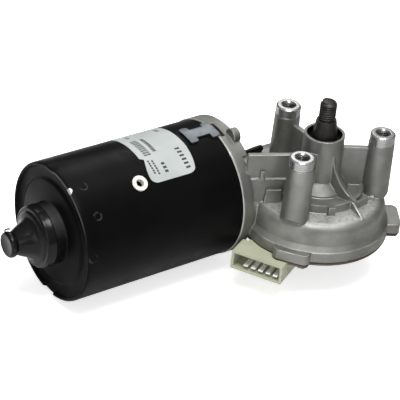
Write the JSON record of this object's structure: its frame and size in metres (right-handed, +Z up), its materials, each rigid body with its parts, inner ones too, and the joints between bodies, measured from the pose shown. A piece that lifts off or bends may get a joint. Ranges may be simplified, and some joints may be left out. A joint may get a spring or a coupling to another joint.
{
  "type": "wiper motor",
  "caption": "Permanent-magnet wiper motor with a worm gearbox, threaded output shaft, raised mounting posts and a blade socket.",
  "frame": {"origin": "where the output shaft's axis crosses the plane of the mounting-post faces", "axes": "+Z up along the output shaft, out of its threaded end; +X along the motor shaft from the nose of the can towards the gearbox"},
  "size_m": [0.2369, 0.1316, 0.111],
  "materials": {
    "die_cast_aluminium": "shot-blasted die casting, machined lands",
    "black_can_paint": "satin black paint on drawn steel",
    "zinc_steel": "blue-white zinc plate",
    "bright_steel": "ground steel",
    "black_oxide_steel": "black oxide, oiled",
    "sintered_bronze": "oil-filled sintered bronze",
    "copper": "enamelled or bare copper",
    "electrical_steel": "stacked laminations",
    "ferrite": "sintered ferrite",
    "white_nylon": "glass-filled nylon, greased",
    "ivory_plastic": "natural translucent moulding",
    "tinned_brass": "bright tin plate",
    "brown_gasket": "fibre and rubber sheet",
    "black_rubber": "moulded rubber",
    "phenolic_board": "punched paper laminate",
    "carbon": "copper-graphite brush"
  },
  "bodies": {
    "housing": {"gear_housing": "die_cast_aluminium", "mounting_posts": "die_cast_aluminium", "cover_plate": "zinc_steel", "cover_gasket": "brown_gasket", "cover_screws": "zinc_steel", "connector_housing": "ivory_plastic", "connector_terminals": "tinned_brass", "contact_board": "phenolic_board", "contact_fingers": "tinned_brass", "motor_can": "black_can_paint", "magnets": "ferrite", "rear_bush": "sintered_bronze", "rear_bush_retainer": "zinc_steel", "nose_cap": "black_rubber", "bridge_clips": "zinc_steel", "can_grommet": "ivory_plastic", "vent_spout": "black_rubber", "brush_plate": "phenolic_board", "brush_holders": "tinned_brass", "brushes": "carbon", "brush_springs": "bright_steel", "choke_coils": "copper", "choke_cores": "ferrite", "bearing_outer_ring": "bright_steel", "bearing_balls": "bright_steel", "bearing_snap_ring": "bright_steel", "worm_bush": "sintered_bronze", "thrust_pad": "white_nylon", "thrust_screw": "zinc_steel", "thrust_locknut": "zinc_steel", "upper_bush": "sintered_bronze", "lower_bush": "sintered_bronze", "shaft_seal": "black_rubber"},
    "armature": {"armature_shaft": "bright_steel", "armature_core": "electrical_steel", "armature_windings": "copper", "commutator": "copper", "commutator_hub": "phenolic_board", "bearing_inner_ring": "bright_steel", "thrust_ball": "bright_steel"},
    "output": {"output_shaft": "black_oxide_steel", "worm_wheel": "white_nylon", "wheel_hub": "bright_steel", "contact_disc": "tinned_brass", "thrust_washer": "bright_steel", "shaft_circlip": "bright_steel"}
  },
  "joints": [
    {"name": "armature_spin", "type": "hinge", "parent": "housing", "child": "armature", "pos_m": [0, 0.044, -0.0483], "axis": [1, 0, 0], "continuous": true},
    {"name": "output_spin", "type": "hinge", "parent": "housing", "child": "output", "pos_m": [0, 0, 0], "axis": [0, 0, 1], "continuous": true}
  ],
  "couplings": [
    {"joint": "output_spin", "follows": "armature_spin", "ratio": 0.016949}
  ]
}
